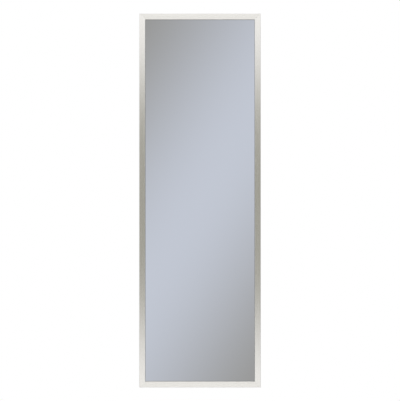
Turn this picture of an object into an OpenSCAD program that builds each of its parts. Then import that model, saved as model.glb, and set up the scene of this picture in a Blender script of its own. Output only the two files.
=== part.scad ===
// Framed mirror medicine cabinet: an aluminium box with a face flange, four glass
// shelves that slide on tracks, and a mirrored door on a continuous hinge.
// Origin: centre of the rear face. +X right, +Z up, -Y towards the room.

/* [Door] */
// Width of the door over its frame
door_w = 325; // [280:1:500]
// Height of the door over its frame
door_h = 1000; // [760:1:1200]
// Width of the frame's face around the mirror
face_w = 16; // [14.5:0.5:24]
// Wall of the door frame extrusion
frame_wall = 1.8; // [1.4:0.1:2.2]
// Web between the frame's key chamber and its glazing channel
frame_web = 1.3; // [1:0.1:2]
// Depth of the glazing channel that holds the glass
channel_d = 4.5; // [3.5:0.1:6]
// Bevel along the outer edges of every extrusion
edge_bevel = 0.6; // [0.2:0.1:1.2]
// Thickness of the front mirror
front_glass_t = 4; // [3:0.5:6]
// Thickness of the core board between the two mirrors
core_t = 6.8; // [5:0.1:12]
// Thickness of the mirror on the inside of the door
inner_glass_t = 3; // [2:0.5:5]
// Thickness of the glazing gasket around the mirrors
gasket_t = 0.8; // [0.5:0.1:1.2]
// Width of gasket that shows past the frame
gasket_show = 0.6; // [0.2:0.1:1.5]
// Length of each arm of a door corner key
door_key_arm = 38; // [33:1:45]
// Distance of a key screw from the end of its bar
key_screw_in = 28; // [22:1:30]
// Diameter of a key screw
key_screw_d = 4; // [3:0.5:5]
// Length of a key screw
key_screw_len = 9; // [6:0.5:12]

/* [Cabinet body] */
// Depth of the box from the wall to the front of its flange
body_depth = 96; // [86:1:150]
// Wall of the box
body_wall = 2; // [1.5:0.1:3]
// Width of the flange outside the box
flange_w = 13; // [12.5:0.5:20]
// Depth of the hollow flange
flange_depth = 8; // [7.5:0.5:12]
// Wall of the hollow flange
flange_wall = 1.8; // [1.2:0.1:2.2]
// Step from the door's edge in to the flange's edge
reveal = 3; // [2:0.5:4]
// Width of the lip that carries the back panel
rear_lip_w = 8; // [7.5:0.5:12]
// Thickness of the lip that carries the back panel
rear_lip_t = 1.8; // [1.2:0.1:3]
// Thickness of the back panel
back_panel_t = 1.5; // [1:0.1:2.5]
// Thickness of the mirror on the back panel
back_glass_t = 3; // [2:0.5:5]
// Length of each arm of a body corner key
body_key_arm = 36; // [24:1:42]
// Height of the rails that take the wall screws
rail_h = 30; // [20:1:50]
// Distance between the two wall screws of a rail
wall_screw_span = 200; // [80:1:220]
// Diameter of the wall screw holes
wall_screw_d = 5.5; // [4:0.5:8]
// Distance of the side screw holes from the ends of the door
side_screw_end = 70; // [40:1:200]
// Distance of the front side screw hole from the flange front
side_screw_front = 18; // [13:0.5:22]
// Distance of the rear side screw hole from the front one
side_screw_gap = 37; // [32:0.5:40]
// Spacing of the back panel screws
back_screw_pitch = 160; // [80:5:200]
// Distance of the last back panel screws from the corners
back_screw_end = 40; // [20:1:60]

/* [Shelf tracks] */
// Width of a track's slot
slot_w = 5; // [4.4:0.1:6]
// Width of the undercut behind the slot
tee_w = 9.4; // [8.5:0.1:12]
// Depth of the undercut
tee_d = 2.4; // [2:0.1:4]
// Thickness of the lips over the undercut
track_lip = 1.6; // [1:0.1:2.5]
// Distance of the front track's middle from the flange front
front_track_in = 34; // [32:0.5:36]
// Distance of the rear track's middle from the wall
rear_track_in = 20; // [17:0.5:24]

/* [Shelves] */
// Number of glass shelves
shelf_count = 4; // [2:1:5]
// Thickness of the shelf glass
shelf_t = 5; // [4:0.5:8]
// Distance of a shelf's front edge from the flange front
shelf_front_in = 14; // [8:1:20]
// Space between a shelf and the back mirror
shelf_rear_gap = 3.5; // [3:0.5:10]
// Corner radius of the shelf glass
shelf_corner_r = 6; // [1:0.5:12]
// Thickness of the shelf brackets
bracket_t = 2; // [1.5:0.1:3]
// Width of a bracket's ledge under the glass
ledge_w = 12; // [8:0.5:20]
// Height of a bracket above the underside of the glass
bracket_rise = 16; // [15:0.5:24]
// Thickness of the pads under the glass
pad_t = 0.8; // [0.5:0.1:2]
// Height of the stops at the ends of a bracket above its ledge
stop_h = 3.4; // [2:0.1:4.5]
// Diameter of the clamp screws
clamp_screw_d = 3.9; // [3:0.1:4]
// Diameter of the clamp screw heads
clamp_head_d = 7; // [6:0.5:8]
// Height of the clamp screw heads
clamp_head_h = 3; // [2:0.1:5]
// Length of a track nut
nut_len = 9; // [6:0.5:14]
// Thickness of a track nut
nut_t = 2; // [1.5:0.1:2.1]

/* [Hinge] */
// Distance of the hinge's ends from the ends of the door, at least
hinge_end_in = 40; // [40:1:80]
// Length of one knuckle with its gap
knuckle_pitch = 20; // [15:1:30]
// Gap between neighbouring knuckles
knuckle_gap = 0.4; // [0.2:0.1:1]
// Diameter of the hinge pin
pin_d = 2.1; // [1.8:0.1:3]
// Thickness of the hinge leaves
leaf_t = 1.1; // [1.1:0.1:1.5]
// Width of a hinge leaf from the pin's axis
leaf_w = 12.5; // [11.5:0.5:12.5]
// Knuckles from one screw of a leaf to its next
knuckles_per_screw = 4; // [2:2:8]
// Distance of the hinge screws from the pin's axis
hinge_screw_in = 5.5; // [5:0.1:6.5]
// Length of the hinge screws
hinge_screw_len = 6; // [4:0.5:6]

/* [Catch and bumpers] */
// Distance of each magnetic catch from the end of the door
catch_end_in = 170; // [100:5:300]
// Diameter of the catch's head
catch_head_d = 10; // [8.5:0.5:10]
// Diameter of the catch's shank in the flange
catch_shank_d = 7; // [6.5:0.1:7.2]
// Length of the catch's shank
catch_shank_l = 5.5; // [5:0.1:6]
// Diameter of the magnet
magnet_d = 5; // [4:0.1:5.4]
// Length of the magnet
magnet_len = 8; // [6:0.5:8.5]
// Diameter of the strike plates
strike_d = 11; // [9:0.5:12]
// Thickness of the strike plates
strike_t = 1.2; // [1.1:0.1:1.5]
// Diameter of the door bumpers
bumper_d = 9; // [7:0.5:9]
// Distance of the bumpers from the sides of the door
bumper_side_in = 8.5; // [8:0.5:11]
// Distance of the bumpers from the ends of the door
bumper_end_in = 11; // [9:0.5:12]
// Radius of a bumper's domed top
bumper_dome_r = 7; // [6:0.5:12]

/* [Small screws] */
// Diameter of the small countersunk screws
small_shank_d = 2.8; // [2.2:0.1:3]
// Diameter of their heads
small_head_d = 5; // [4.4:0.1:5]
// Width of the cross cut in their heads
recess_w = 0.6; // [0.4:0.1:0.8]
// Width of the hexagon in the clamp screws, across its corners
clamp_hex_d = 3.6; // [2.5:0.1:4.5]
// Width of the hexagon in the key screws, across its corners
key_hex_d = 2; // [1.5:0.1:2.5]
// Depth of the hexagons
hex_deep = 1.8; // [1:0.1:2]

/* [Clearances] */
// Running clearance of the pin in its knuckles, on the radius
pin_clear = 0.05; // [0.02:0.01:0.1]
// Gap from a knuckle to what it turns past
swing_gap = 0.3; // [0.2:0.05:0.5]
// Clearance of a piece that slides or drops into another
fit = 0.2; // [0.1:0.05:0.3]
// Gap between parts that meet when the door shuts
touch_gap = 0.3; // [0.2:0.05:0.5]
// Clearance of a screw in its hole, on the radius
screw_clear = 0.05; // [0.02:0.01:0.15]

/* [Hidden] */
$fn = 48;
cut = 1;
hex_sides = 6;

// Door, worked out from its layers
door_t = 2 * (frame_wall + gasket_t) + front_glass_t + core_t + inner_glass_t;
channel_in = face_w - channel_d;
chamber_w = channel_in - frame_web - frame_wall;
glass_in = channel_in + gasket_t;
pin_r = pin_d / 2;
bore_r = pin_r + pin_clear;
knuckle_r = bore_r + leaf_t;
leaf_face = knuckle_r + swing_gap;
door_gap = 2 * leaf_face;
flange_y = -body_depth;
door_back_y = flange_y - door_gap;
door_front_y = door_back_y - door_t;

// Cabinet body
frame_w = door_w - 2 * reveal;
frame_h = door_h - 2 * reveal;
box_w = frame_w - 2 * flange_w;
box_h = frame_h - 2 * flange_w;
inner_w = box_w - 2 * body_wall;
inner_h = box_h - 2 * body_wall;
mitre_reach = flange_w + body_wall + rear_lip_w + cut;
flange_room_w = flange_w - flange_wall;
flange_room_d = flange_depth - 2 * flange_wall;
lined_w = inner_w - 2 * (rear_lip_w + fit);
lined_h = inner_h - 2 * (rear_lip_w + fit);
wall_screw_z = lined_h / 2 - rail_h / 2;
back_screw_in = rear_lip_w / 2;
side_screw_z = door_h / 2 - side_screw_end;

// Tracks and shelves
track_w = tee_w + 2 * track_lip;
track_h = tee_d + track_lip;
track_y = [flange_y + front_track_in, -rear_track_in];
track_face_x = inner_w / 2 - track_h;
bracket_x = track_face_x - touch_gap;
shelf_x = bracket_x - bracket_t - touch_gap;
shelf_front_y = flange_y + shelf_front_in;
shelf_rear_y = -(back_panel_t + back_glass_t + shelf_rear_gap);
shelf_d = shelf_rear_y - shelf_front_y;
shelf_pitch = inner_h / (shelf_count + 1);
ledge_z = -pad_t - bracket_t;
clamp_z = (shelf_t + bracket_rise) / 2;
nut_h = tee_w - 2 * fit;
nut_gap = (tee_d - nut_t) / 2;
clamp_reach = bracket_t + touch_gap + track_h - nut_gap;

// Hinge
hinge_x = -frame_w / 2;
hinge_y = flange_y - leaf_face;
knuckles = floor((door_h - 2 * hinge_end_in) / knuckle_pitch);
hinge_len = knuckles * knuckle_pitch;
function knuckle_z(i) = (i + 0.5) * knuckle_pitch - hinge_len / 2;

// Catch and bumpers
catch_x = frame_w / 2 - flange_wall - catch_shank_d / 2 - fit;
catch_z = door_h / 2 - catch_end_in;
catch_head_h = door_gap - strike_t - touch_gap;
bumper_h = door_gap - touch_gap;
bumper_z = door_h / 2 - bumper_end_in;
bumper_x = door_w / 2 - bumper_side_in;

SHELF_PIECES = ["glass", "bracket_left", "bracket_right", "pads", "track_nuts", "clamp_screws"];

// Turns a shape built along +Z so that it points to the wall
module to_wall() {
    rotate([-90, 0, 0]) children();
}

// Turns a shape built along +Z so that it points to the room
module to_room() {
    rotate([90, 0, 0]) children();
}

// Copies to both ends, top and bottom
module top_and_bottom(z) {
    for (side = [0, 1]) mirror([0, 0, side]) translate([0, 0, z]) children();
}

// Copies a top left corner to all four corners
module four_corners() {
    for (side = [0, 1], end = [0, 1]) mirror([side, 0, 0]) mirror([0, 0, end]) children();
}

// A bar of the 2D profile along Z, its outer edge at x = 0, with both ends mitred
module mitred_bar(length, reach) {
    intersection() {
        translate([0, 0, -length / 2]) linear_extrude(length) children();
        rotate([90, 0, 0]) translate([0, 0, -(body_depth + cut)])
            linear_extrude(2 * (body_depth + cut))
                polygon([[0, -length / 2], [0, length / 2],
                         [reach, length / 2 - reach], [reach, reach - length / 2]]);
    }
}

// Stands the bar at the left edge of a rectangle, w wide and h high
module left_bar(w, h, reach) {
    translate([-w / 2, 0, 0]) mitred_bar(h, reach) children();
}

// Lays the bar along the top edge of a rectangle, w wide and h high
module top_bar(w, h, reach) {
    translate([0, 0, h / 2]) rotate([0, 90, 0]) mitred_bar(w, reach) children();
}

// A countersunk screw, head face at z = 0, pointing along +Z
module flat_screw(head_d, shank_d, length) {
    difference() {
        union() {
            cylinder(h = (head_d - shank_d) / 2, d1 = head_d, d2 = shank_d);
            cylinder(h = length, d = shank_d);
        }
        for (turn = [0, 90]) rotate([0, 0, turn])
            translate([-shank_d / 2, -recess_w / 2, -cut]) cube([shank_d, recess_w, cut + recess_w]);
    }
}

// The hole that a countersunk screw sits in
module flat_screw_hole(head_d, shank_d, length) {
    translate([0, 0, -cut]) cylinder(h = length + cut, d = shank_d + 2 * screw_clear);
    translate([0, 0, -screw_clear])
        cylinder(h = (head_d - shank_d) / 2 + screw_clear, d1 = head_d + 4 * screw_clear,
                 d2 = shank_d + 2 * screw_clear);
}

// An L-shaped key that fills the chambers on both sides of a mitre, top left
module corner_key(w, t, arm) {
    translate([0, 0, -w]) cube([arm, t, w]);
    translate([0, 0, -arm]) cube([w, t, arm]);
}

// Cross-section of the door frame, outer edge at x = 0 and front face at y = 0
module door_profile() {
    difference() {
        square([face_w, door_t]);
        translate([frame_wall, frame_wall]) square([chamber_w, door_t - 2 * frame_wall]);
        translate([channel_in, frame_wall]) square([channel_d + cut, door_t - 2 * frame_wall]);
        polygon([[-cut, -cut], [edge_bevel + cut, -cut], [-cut, edge_bevel + cut]]);
        polygon([[face_w - edge_bevel / 2 - cut, -cut], [face_w + cut, -cut],
                 [face_w + cut, edge_bevel / 2 + cut]]);
    }
}

// Cross-section of the box, flange edge at x = 0 and flange front at y = 0
module body_profile() {
    difference() {
        union() {
            square([flange_w + body_wall, flange_depth]);
            translate([flange_w, 0]) square([body_wall, body_depth]);
            translate([flange_w, body_depth - back_panel_t - rear_lip_t])
                square([body_wall + rear_lip_w, rear_lip_t]);
        }
        translate([flange_wall, flange_wall]) square([flange_room_w, flange_room_d]);
        polygon([[-cut, -cut], [edge_bevel + cut, -cut], [-cut, edge_bevel + cut]]);
    }
}

// Cross-section of a side: the box's, with two tracks on the inside
module side_profile() {
    difference() {
        union() {
            body_profile();
            for (y = track_y) translate([flange_w + body_wall, y - flange_y - track_w / 2])
                square([track_h, track_w]);
        }
        for (y = track_y) translate([flange_w + body_wall, y - flange_y]) {
            translate([0, -tee_w / 2]) square([tee_d, tee_w]);
            translate([0, -slot_w / 2]) square([track_h + cut, slot_w]);
        }
    }
}

// One side of the box with its holes for screws into a stud
module side_blank() {
    difference() {
        translate([0, flange_y, 0]) left_bar(frame_w, frame_h, mitre_reach) side_profile();
        for (z = [-side_screw_z, side_screw_z], y = [0, side_screw_gap])
            translate([-box_w / 2 - cut, flange_y + side_screw_front + y, z])
                rotate([0, 90, 0]) cylinder(h = body_wall + 2 * cut, d = wall_screw_d);
        back_panel_screw_holes();
    }
}

module side_left() {
    color("silver") difference() {
        side_blank();
        translate([hinge_x, hinge_y, 0]) at_leaf_screws(0) hinge_screw_hole();
    }
}

module side_right() {
    color("silver") difference() {
        mirror([1, 0, 0]) side_blank();
        top_and_bottom(catch_z) translate([catch_x, flange_y - cut, 0])
            to_wall() cylinder(h = flange_wall + 2 * cut, d = catch_shank_d + fit);
    }
}

module top_panel() {
    color("silver") difference() {
        translate([0, flange_y, 0]) top_bar(frame_w, frame_h, mitre_reach) body_profile();
        back_panel_screw_holes();
    }
}

module bottom_panel() {
    mirror([0, 0, 1]) top_panel();
}

module body_corner_keys() {
    inset = flange_wall + fit;
    color("dimgray") four_corners()
        translate([inset - frame_w / 2, flange_y + inset, frame_h / 2 - inset])
            corner_key(flange_room_w - 2 * fit, flange_room_d - 2 * fit, body_key_arm);
}

// Places its children at each screw of the back panel, on the wall side
module at_back_screws() {
    span_z = inner_h - 2 * back_screw_end;
    span_x = inner_w - 2 * back_screw_end;
    rows = ceil(span_z / back_screw_pitch);
    columns = ceil(span_x / back_screw_pitch);
    for (side = [-1, 1]) {
        for (i = [0:rows])
            translate([side * (inner_w / 2 - back_screw_in), 0, (i / rows - 0.5) * span_z])
                to_room() children();
        for (i = [0:columns])
            translate([(i / columns - 0.5) * span_x, 0, side * (inner_h / 2 - back_screw_in)])
                to_room() children();
    }
}

module back_panel_screw_holes() {
    at_back_screws()
        flat_screw_hole(small_head_d, small_shank_d, back_panel_t + rear_lip_t + cut);
}

// Places its children at the four wall screws, pointing to the wall
module at_wall_screws(y) {
    for (x = [-1, 1], z = [-1, 1])
        translate([x * wall_screw_span / 2, y, z * wall_screw_z]) to_wall() children();
}

module back_panel() {
    color("lightgray") difference() {
        translate([fit - inner_w / 2, -back_panel_t, fit - inner_h / 2])
            cube([inner_w - 2 * fit, back_panel_t, inner_h - 2 * fit]);
        back_panel_screw_holes();
        at_wall_screws(-back_panel_t - cut) cylinder(h = back_panel_t + 2 * cut, d = wall_screw_d);
    }
}

module back_screws() {
    color("gainsboro") at_back_screws()
        flat_screw(small_head_d, small_shank_d, back_panel_t + rear_lip_t);
}

module mount_rail_top() {
    color("silver") difference() {
        translate([-lined_w / 2, -back_panel_t - back_glass_t, lined_h / 2 - rail_h])
            cube([lined_w, back_glass_t, rail_h]);
        at_wall_screws(-back_panel_t - back_glass_t - cut)
            cylinder(h = back_glass_t + 2 * cut, d = wall_screw_d);
    }
}

module mount_rail_bottom() {
    mirror([0, 0, 1]) mount_rail_top();
}

module back_mirror() {
    glass_h = lined_h - 2 * (rail_h + fit);
    color("lightblue") translate([-lined_w / 2, -back_panel_t - back_glass_t, -glass_h / 2])
        cube([lined_w, back_glass_t, glass_h]);
}

// Places its children at the screws of one hinge leaf, pointing to +Y,
// each beside a knuckle of the leaf's own: the even ones if first is 0, the odd if it is 1
module at_leaf_screws(first) {
    for (i = [first:knuckles_per_screw:knuckles - 1])
        translate([hinge_screw_in, leaf_face - leaf_t, knuckle_z(i)]) to_wall() children();
}

module hinge_screw() {
    flat_screw(small_head_d, small_shank_d, hinge_screw_len);
}

module hinge_screw_hole() {
    flat_screw_hole(small_head_d, small_shank_d, hinge_screw_len + cut);
}

// One leaf of the continuous hinge, about the pin's axis, flat towards +Y
module hinge_leaf(first) {
    difference() {
        union() {
            translate([0, leaf_face - leaf_t, -hinge_len / 2]) cube([leaf_w, leaf_t, hinge_len]);
            for (i = [first:2:knuckles - 1]) translate([0, 0, knuckle_z(i)])
                cylinder(h = knuckle_pitch - knuckle_gap, r = knuckle_r, center = true);
        }
        for (i = [1 - first:2:knuckles - 1])
            translate([-cut, 0, knuckle_z(i) - (knuckle_pitch + knuckle_gap) / 2])
                cube([knuckle_r + swing_gap + cut, leaf_face + cut, knuckle_pitch + knuckle_gap]);
        translate([0, 0, -hinge_len / 2 - cut]) cylinder(h = hinge_len + 2 * cut, r = bore_r);
        at_leaf_screws(first) hinge_screw_hole();
    }
}

module hinge_leaf_body() {
    color("darkgray") translate([hinge_x, hinge_y, 0]) hinge_leaf(0);
}

module hinge_leaf_door() {
    color("darkgray") translate([hinge_x, hinge_y, 0]) mirror([0, 1, 0]) hinge_leaf(1);
}

module hinge_body_screws() {
    color("gainsboro") translate([hinge_x, hinge_y, 0]) at_leaf_screws(0) hinge_screw();
}

module hinge_door_screws() {
    color("gainsboro") translate([hinge_x, hinge_y, 0]) mirror([0, 1, 0])
        at_leaf_screws(1) hinge_screw();
}

module hinge_pin() {
    color("gray") translate([hinge_x, hinge_y, -hinge_len / 2]) cylinder(h = hinge_len, r = pin_r);
}

module catch_housings() {
    color("white") top_and_bottom(catch_z) translate([catch_x, flange_y, 0]) to_wall()
        difference() {
            union() {
                translate([0, 0, -catch_head_h]) cylinder(h = catch_head_h, d = catch_head_d);
                cylinder(h = catch_shank_l, d = catch_shank_d);
            }
            translate([0, 0, -catch_head_h - cut])
                cylinder(h = magnet_len + cut, d = magnet_d + 2 * screw_clear);
        }
}

module catch_magnets() {
    color("dimgray") top_and_bottom(catch_z)
        translate([catch_x, flange_y - catch_head_h, 0]) to_wall() cylinder(h = magnet_len, d = magnet_d);
}

// Places its children at the holes for key screws in the left stile
module at_stile_key_screws() {
    top_and_bottom(door_h / 2 - key_screw_in)
        translate([frame_wall + chamber_w / 2 - door_w / 2, door_back_y, 0]) to_room() children();
}

// Places its children at the holes for key screws in the top rail
module at_rail_key_screws() {
    for (side = [-1, 1])
        translate([side * (door_w / 2 - key_screw_in), door_back_y,
                   door_h / 2 - frame_wall - chamber_w / 2]) to_room() children();
}

module key_screw_hole() {
    translate([0, 0, -cut])
        cylinder(h = key_screw_len + 2 * cut, d = key_screw_d + 2 * screw_clear);
}

module door_stile_blank() {
    difference() {
        translate([0, door_front_y, 0]) left_bar(door_w, door_h, face_w) door_profile();
        at_stile_key_screws() key_screw_hole();
    }
}

module door_stile_left() {
    color("tan") difference() {
        door_stile_blank();
        translate([hinge_x, hinge_y, 0]) mirror([0, 1, 0]) at_leaf_screws(1) hinge_screw_hole();
    }
}

module door_stile_right() {
    color("tan") difference() {
        mirror([1, 0, 0]) door_stile_blank();
        at_strikes() hinge_screw_hole();
    }
}

module door_rail_top() {
    color("tan") difference() {
        translate([0, door_front_y, 0]) top_bar(door_w, door_h, face_w) door_profile();
        at_rail_key_screws() key_screw_hole();
    }
}

module door_rail_bottom() {
    mirror([0, 0, 1]) door_rail_top();
}

module door_corner_keys() {
    inset = frame_wall + fit;
    color("dimgray") difference() {
        four_corners() translate([inset - door_w / 2, door_front_y + inset, door_h / 2 - inset])
            corner_key(chamber_w - 2 * fit, door_t - 2 * inset, door_key_arm);
        for (side = [0, 1]) mirror([side, 0, 0]) at_stile_key_screws() key_screw_hole();
        for (end = [0, 1]) mirror([0, 0, end]) at_rail_key_screws() key_screw_hole();
    }
}

module door_key_screws() {
    color("gainsboro") {
        for (side = [0, 1]) mirror([side, 0, 0]) at_stile_key_screws() key_screw();
        for (end = [0, 1]) mirror([0, 0, end]) at_rail_key_screws() key_screw();
    }
}

// A headless screw with a hexagonal socket, flush with the frame
module key_screw() {
    difference() {
        cylinder(h = key_screw_len, d = key_screw_d);
        translate([0, 0, -cut]) cylinder(h = hex_deep + cut, d = key_hex_d, $fn = hex_sides);
    }
}

// A plate as wide as the door less an inset all round, from one depth to another
module door_layer(inset, front, back) {
    translate([inset - door_w / 2, door_front_y + front, inset - door_h / 2])
        cube([door_w - 2 * inset, back - front, door_h - 2 * inset]);
}

module glazing_gasket() {
    stack_front = frame_wall + gasket_t;
    color("black") difference() {
        door_layer(channel_in, frame_wall, door_t - frame_wall);
        door_layer(glass_in, stack_front, door_t - stack_front);
        door_layer(face_w + gasket_show, 0, door_t);
    }
}

module front_mirror() {
    front = frame_wall + gasket_t;
    color("lightblue") door_layer(glass_in, front, front + front_glass_t);
}

module core_board() {
    front = frame_wall + gasket_t + front_glass_t;
    color("wheat") door_layer(glass_in, front, front + core_t);
}

module inner_mirror() {
    front = frame_wall + gasket_t + front_glass_t + core_t;
    color("lightblue") door_layer(glass_in, front, front + inner_glass_t);
}

// Places its children on the rear faces of the strike plates, pointing to the room
module at_strikes() {
    top_and_bottom(catch_z) translate([catch_x, door_back_y + strike_t, 0]) to_room() children();
}

module strike_plates() {
    color("silver") at_strikes() difference() {
        cylinder(h = strike_t, d = strike_d);
        hinge_screw_hole();
    }
}

module strike_screws() {
    color("gainsboro") at_strikes() hinge_screw();
}

module door_bumpers() {
    color("whitesmoke") four_corners()
        translate([-bumper_x, door_back_y, bumper_z]) to_wall()
            intersection() {
                cylinder(h = bumper_h, d = bumper_d);
                translate([0, 0, bumper_h - bumper_dome_r]) sphere(r = bumper_dome_r);
            }
}

// Everything of a shelf is drawn with the underside of its glass at z = 0
module shelf_glass() {
    front_w = 2 * (shelf_x - shelf_corner_r);
    color("lightcyan", 0.5) {
        translate([-shelf_x, shelf_front_y + shelf_corner_r, 0])
            cube([2 * shelf_x, shelf_d - shelf_corner_r, shelf_t]);
        translate([-front_w / 2, shelf_front_y, 0]) cube([front_w, shelf_d / 2, shelf_t]);
        for (side = [-1, 1])
            translate([side * front_w / 2, shelf_front_y + shelf_corner_r, 0])
                cylinder(h = shelf_t, r = shelf_corner_r);
    }
}

// Places its children at the two clamp screws on the left, pointing to the left
module at_clamps() {
    for (y = track_y) translate([-bracket_x + bracket_t, y, clamp_z]) rotate([0, -90, 0]) children();
}

module shelf_bracket_left() {
    end_room = touch_gap + bracket_t;
    long = shelf_d + 2 * end_room;
    color("silver") translate([-bracket_x, shelf_front_y - end_room, 0]) difference() {
        union() {
            translate([0, 0, ledge_z]) cube([bracket_t, long, bracket_rise - ledge_z]);
            translate([0, 0, ledge_z]) cube([ledge_w, long, bracket_t]);
            for (y = [0, long - bracket_t])
                translate([0, y, ledge_z]) cube([ledge_w, bracket_t, bracket_t + stop_h]);
        }
        translate([bracket_x, end_room - shelf_front_y, 0]) at_clamps()
            translate([0, 0, -cut]) cylinder(h = bracket_t + 2 * cut, d = clamp_screw_d + fit);
    }
}

module shelf_bracket_right() {
    mirror([1, 0, 0]) shelf_bracket_left();
}

module shelf_pads() {
    color("whitesmoke") for (side = [0, 1]) mirror([side, 0, 0])
        translate([-shelf_x, shelf_front_y, -pad_t])
            cube([ledge_w - bracket_t - touch_gap, shelf_d, pad_t]);
}

module shelf_track_nuts() {
    color("gainsboro") for (side = [0, 1]) mirror([side, 0, 0]) difference() {
        for (y = track_y)
            translate([nut_gap - inner_w / 2, y - nut_h / 2, clamp_z - nut_len / 2])
                cube([nut_t, nut_h, nut_len]);
        at_clamps() cylinder(h = clamp_reach + cut, d = clamp_screw_d + 2 * screw_clear);
    }
}

// Reaches from the inside of the bracket through the slot to the back of the nut
module clamp_screw() {
    difference() {
        union() {
            translate([0, 0, -clamp_head_h]) cylinder(h = clamp_head_h, d = clamp_head_d);
            cylinder(h = clamp_reach, d = clamp_screw_d);
        }
        translate([0, 0, -clamp_head_h - cut])
            cylinder(h = hex_deep + cut, d = clamp_hex_d, $fn = hex_sides);
    }
}

module shelf_clamp_screws() {
    color("gray") for (side = [0, 1]) mirror([side, 0, 0]) at_clamps() clamp_screw();
}

module shelf_piece(piece) {
    if (piece == "glass") shelf_glass();
    if (piece == "bracket_left") shelf_bracket_left();
    if (piece == "bracket_right") shelf_bracket_right();
    if (piece == "pads") shelf_pads();
    if (piece == "track_nuts") shelf_track_nuts();
    if (piece == "clamp_screws") shelf_clamp_screws();
}

side_left();
side_right();
top_panel();
bottom_panel();
body_corner_keys();
back_panel();
back_screws();
back_mirror();
mount_rail_top();
mount_rail_bottom();
hinge_leaf_body();
hinge_body_screws();
hinge_pin();
catch_housings();
catch_magnets();
door_stile_left();
door_stile_right();
door_rail_top();
door_rail_bottom();
door_corner_keys();
door_key_screws();
glazing_gasket();
front_mirror();
core_board();
inner_mirror();
hinge_leaf_door();
hinge_door_screws();
strike_plates();
strike_screws();
door_bumpers();
for (n = [1:shelf_count], piece = SHELF_PIECES)
    translate([0, 0, n * shelf_pitch - inner_h / 2]) shelf_piece(piece);
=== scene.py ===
import math

import bmesh
import bpy
from bpy.props import FloatProperty, FloatVectorProperty, PointerProperty
from mathutils import Matrix, Vector


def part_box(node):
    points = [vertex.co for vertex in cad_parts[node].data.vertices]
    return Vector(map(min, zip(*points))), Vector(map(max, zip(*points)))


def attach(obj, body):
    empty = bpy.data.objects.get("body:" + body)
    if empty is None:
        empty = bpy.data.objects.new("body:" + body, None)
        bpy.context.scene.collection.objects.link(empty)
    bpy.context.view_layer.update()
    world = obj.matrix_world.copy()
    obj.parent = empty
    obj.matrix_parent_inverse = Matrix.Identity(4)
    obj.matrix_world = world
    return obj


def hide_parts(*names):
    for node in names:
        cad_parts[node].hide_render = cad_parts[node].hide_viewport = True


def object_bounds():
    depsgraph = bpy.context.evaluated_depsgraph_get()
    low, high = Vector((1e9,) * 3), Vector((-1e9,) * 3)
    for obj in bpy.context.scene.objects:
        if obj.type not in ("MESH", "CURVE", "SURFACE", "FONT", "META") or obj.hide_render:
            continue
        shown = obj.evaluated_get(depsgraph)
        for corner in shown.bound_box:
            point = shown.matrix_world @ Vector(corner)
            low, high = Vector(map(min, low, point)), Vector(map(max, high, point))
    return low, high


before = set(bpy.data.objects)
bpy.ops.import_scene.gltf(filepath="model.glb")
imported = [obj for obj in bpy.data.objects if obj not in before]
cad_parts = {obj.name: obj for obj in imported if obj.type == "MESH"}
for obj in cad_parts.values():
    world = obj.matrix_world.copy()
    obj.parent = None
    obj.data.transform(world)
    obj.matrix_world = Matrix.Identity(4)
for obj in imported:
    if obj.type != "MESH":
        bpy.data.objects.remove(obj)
cad_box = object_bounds()

bl_info = {
    "name": "Medicine Cabinet",
    "version": (1, 0, 0),
    "blender": (4, 5, 0),
    "location": "View3D > Sidebar > Cabinet",
    "description": "Dresses a mirrored medicine cabinet with its finishes and fittings",
    "category": "Object",
}

MM = 0.001
SHELVES = (1, 2, 3, 4)

# Vertices closer than this are one vertex
JOIN = 0.001 * MM
# Faces that meet at less than this lie in one plane
FLAT = math.radians(0.2)
# Faces that meet at less than this are shaded as one round surface
ROUND = math.radians(10)
# Edges that turn by more than this are corners
CORNER = math.radians(30)
# A face is square to a direction where the cosine between them is over this
SQUARE_ON = 0.99

# Directions in the object's frame: X to the right, Z up, the room at -Y and the wall at +Y
RIGHT = Vector((1, 0, 0))
UP = Vector((0, 0, 1))
TO_WALL = Vector((0, 1, 0))
X, Y, Z = range(3)

# Sockets of the colour Mix node
MIX_FACTOR, MIX_A, MIX_B = 0, 6, 7
MIX_COLOUR = 2
# Settings that several nodes share
COLOURS = {"data_type": "RGBA"}
SMOOTH = {"interpolation_type": "SMOOTHSTEP"}
# Most of a noise pattern's values lie between these
NOISE_LOW, NOISE_HIGH = 0.3, 0.7


def linear(hex_colour):
    """An sRGB hex colour as linear red, green, blue and alpha."""
    levels = [int(hex_colour[i:i + 2], 16) / 255 for i in (1, 3, 5)]
    return [v / 12.92 if v <= 0.04045 else ((v + 0.055) / 1.055) ** 2.4 for v in levels] + [1.0]


def times(colour, factor):
    """The colour made lighter or darker, with its alpha kept."""
    return [part * factor for part in colour[:3]] + [1.0]


# Settings that a user would change
# Makes every piece and the stage.

class DoorSettings(bpy.types.PropertyGroup):
    """Sizes and colours of the mirrored door"""
    frame_colour: FloatVectorProperty(
        name="Frame colour", description="Nickel-toned anodising of the door frame",
        subtype="COLOR", size=4, min=0, max=1, default=linear("#F1EFEE"))
    frame_roughness: FloatProperty(
        name="Frame roughness", description="How far the brushing spreads a reflection",
        subtype="FACTOR", min=0, max=1, default=0.26)
    edge_round: FloatProperty(
        name="Edge rounding", description="Rounding along the edges of the frame bars",
        unit="LENGTH", min=0, default=0.22 * MM)
    mitre_gap: FloatProperty(
        name="Mitre gap", description="Distance that each bar ends short of its mitre",
        unit="LENGTH", min=0, default=0.04 * MM)
    gasket_colour: FloatVectorProperty(
        name="Gasket colour", description="Glazing gasket between the frame and the glass",
        subtype="COLOR", size=4, min=0, max=1, default=linear("#66686A"))


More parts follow.
